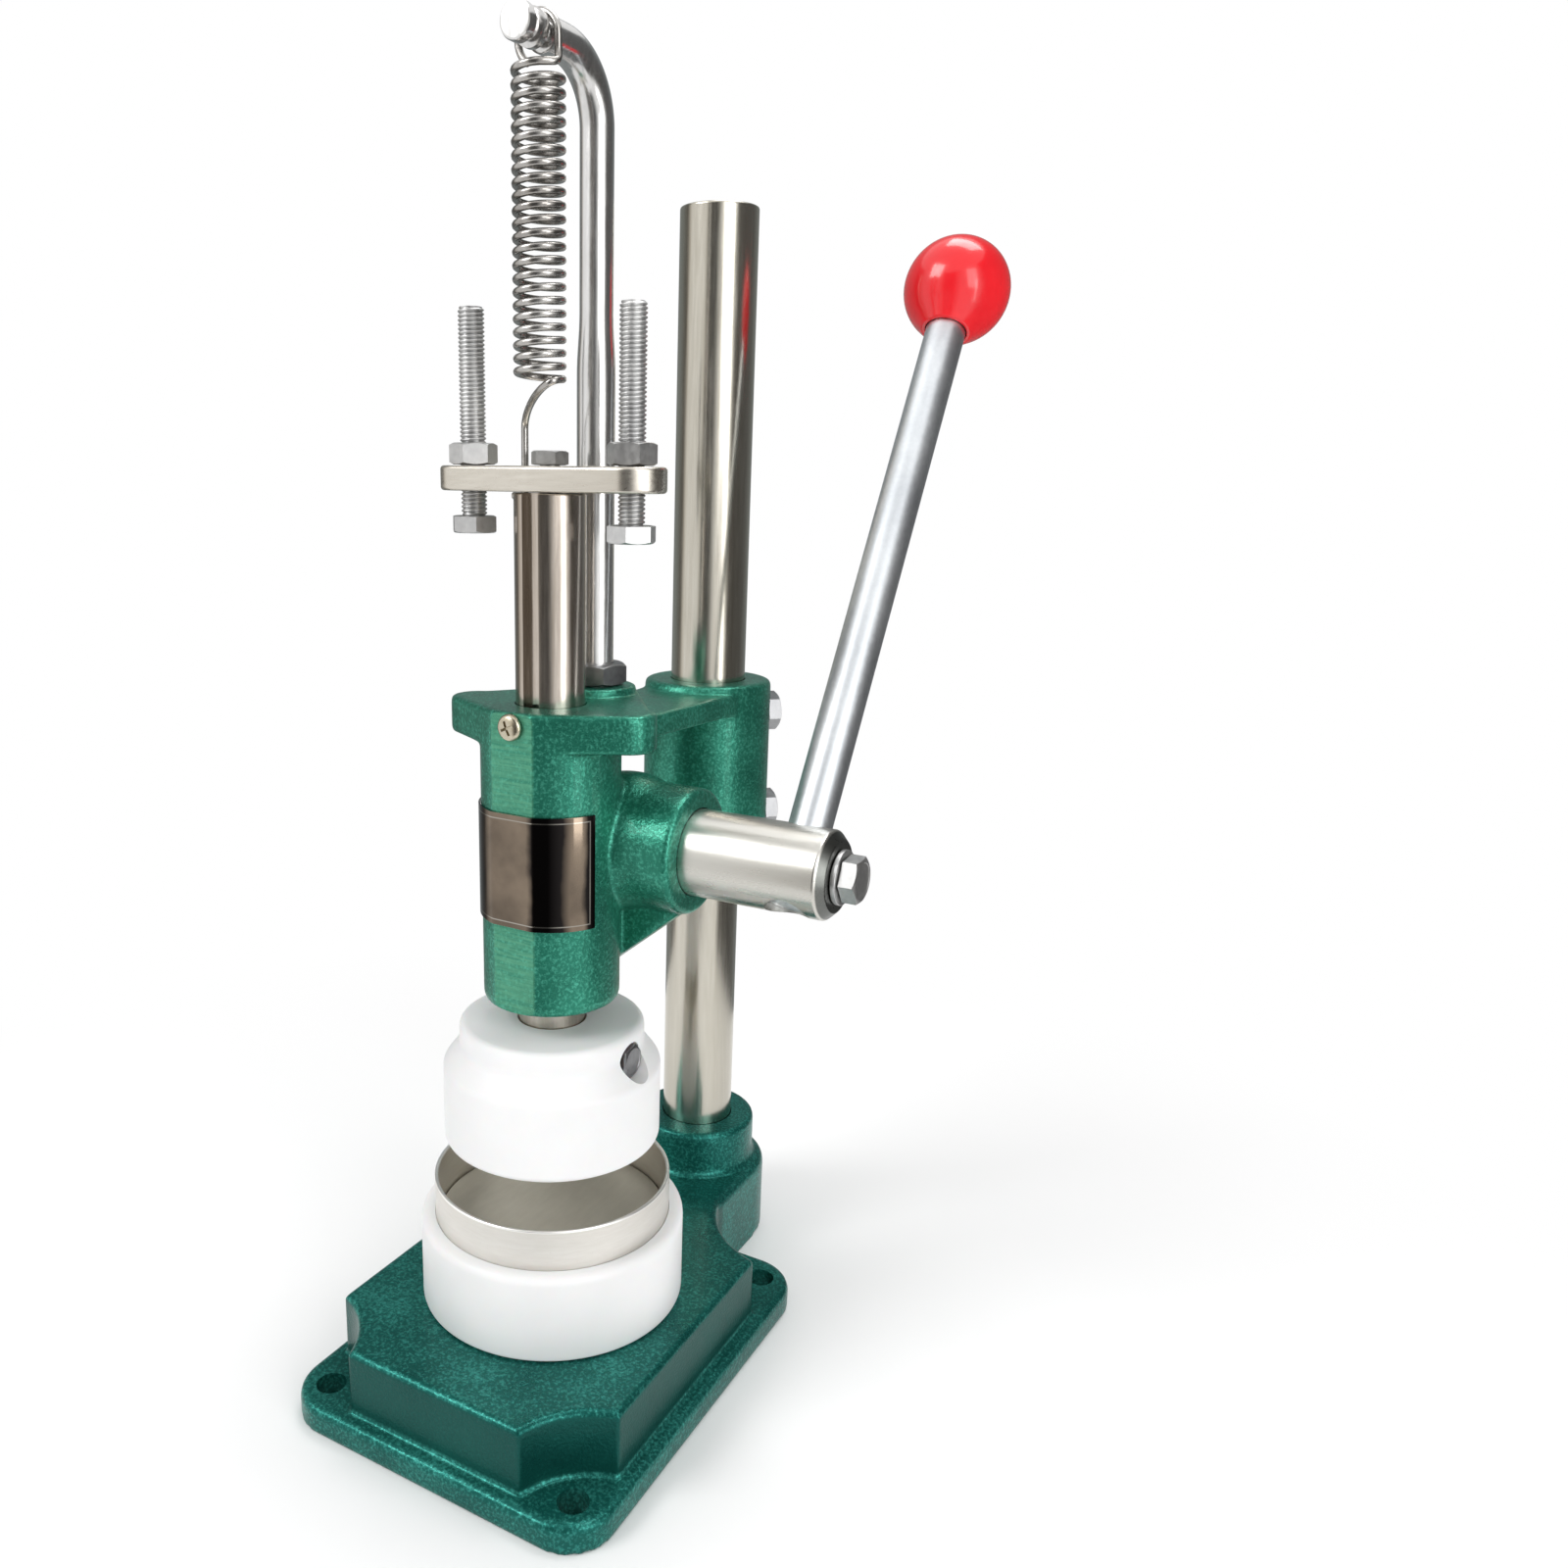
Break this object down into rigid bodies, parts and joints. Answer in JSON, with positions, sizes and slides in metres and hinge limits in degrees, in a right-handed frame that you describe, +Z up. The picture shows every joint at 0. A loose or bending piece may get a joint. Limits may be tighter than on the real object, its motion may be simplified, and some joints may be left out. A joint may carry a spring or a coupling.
{
  "type": "tartlet shell press",
  "caption": "Hand press for tartlet shells: a lever turns a pinion that drives a rack ram down, with white dies above and below, on a column over a cast base.",
  "frame": {"origin": "middle of the base rectangle, on its underside", "axes": "+X to the lever side, +Y from the front to the column, +Z up"},
  "size_m": [0.1583, 0.2283, 0.4297],
  "materials": {
    "green_paint": "glossy green hammertone enamel on cast iron",
    "polished_steel": "ground and polished steel",
    "brushed_steel": "brushed stainless steel",
    "zinc_plate": "bright zinc plate",
    "brass_plate": "pale brass plate",
    "satin_grey": "satin silver",
    "white_nylon": "machined white nylon",
    "red_plastic": "glossy red",
    "black_plate": "glossy black, blank"
  },
  "bodies": {
    "stand": {"base_casting": "green_paint", "column": "polished_steel", "column_set_screw": "zinc_plate", "lower_die": "white_nylon", "forming_plate": "brushed_steel", "lower_die_screw": "zinc_plate"},
    "ring": {"tart_ring": "brushed_steel"},
    "head": {"head_casting": "green_paint", "head_set_bolt_upper": "zinc_plate", "head_set_bolt_lower": "zinc_plate", "guide_screw": "brass_plate", "name_plate": "black_plate", "spring_rod": "polished_steel", "spring_rod_nut": "zinc_plate"},
    "lever": {"pinion_shaft": "polished_steel", "lever_rod": "satin_grey", "lever_knob": "red_plastic", "lever_set_bolt": "zinc_plate", "lever_set_washer": "zinc_plate", "pinion_end_washer": "zinc_plate", "pinion_end_screw": "zinc_plate"},
    "press_ram": {"ram": "polished_steel", "stop_plate": "brushed_steel", "stop_plate_bolt": "zinc_plate", "stop_bolt_left": "zinc_plate", "stop_bolt_right": "zinc_plate", "stop_nut_left": "zinc_plate", "stop_nut_right": "zinc_plate", "upper_die": "white_nylon", "upper_die_set_bolt": "zinc_plate", "return_spring": "polished_steel"}
  },
  "joints": [
    {"name": "head_height", "type": "slide", "parent": "stand", "child": "head", "axis": [0, 0, 1], "range_m": [0, 0.12]},
    {"name": "ring_lift", "type": "slide", "parent": "stand", "child": "ring", "axis": [0, 0, 1], "range_m": [0, 0.014]},
    {"name": "lever_turn", "type": "hinge", "parent": "head", "child": "lever", "pos_m": [0, 0.0168, 0.1895], "axis": [1, 0, 0], "range_deg": [0, 133.69]},
    {"name": "ram_slide", "type": "slide", "parent": "head", "child": "press_ram", "axis": [0, 0, -1], "range_m": [0, 0.028], "stiffness_N_per_m": 600, "springref_m": -0.06, "deforming": ["return_spring"]}
  ],
  "couplings": [
    {"joint": "ram_slide", "follows": "lever_turn", "m_per_rad": 0.012}
  ]
}
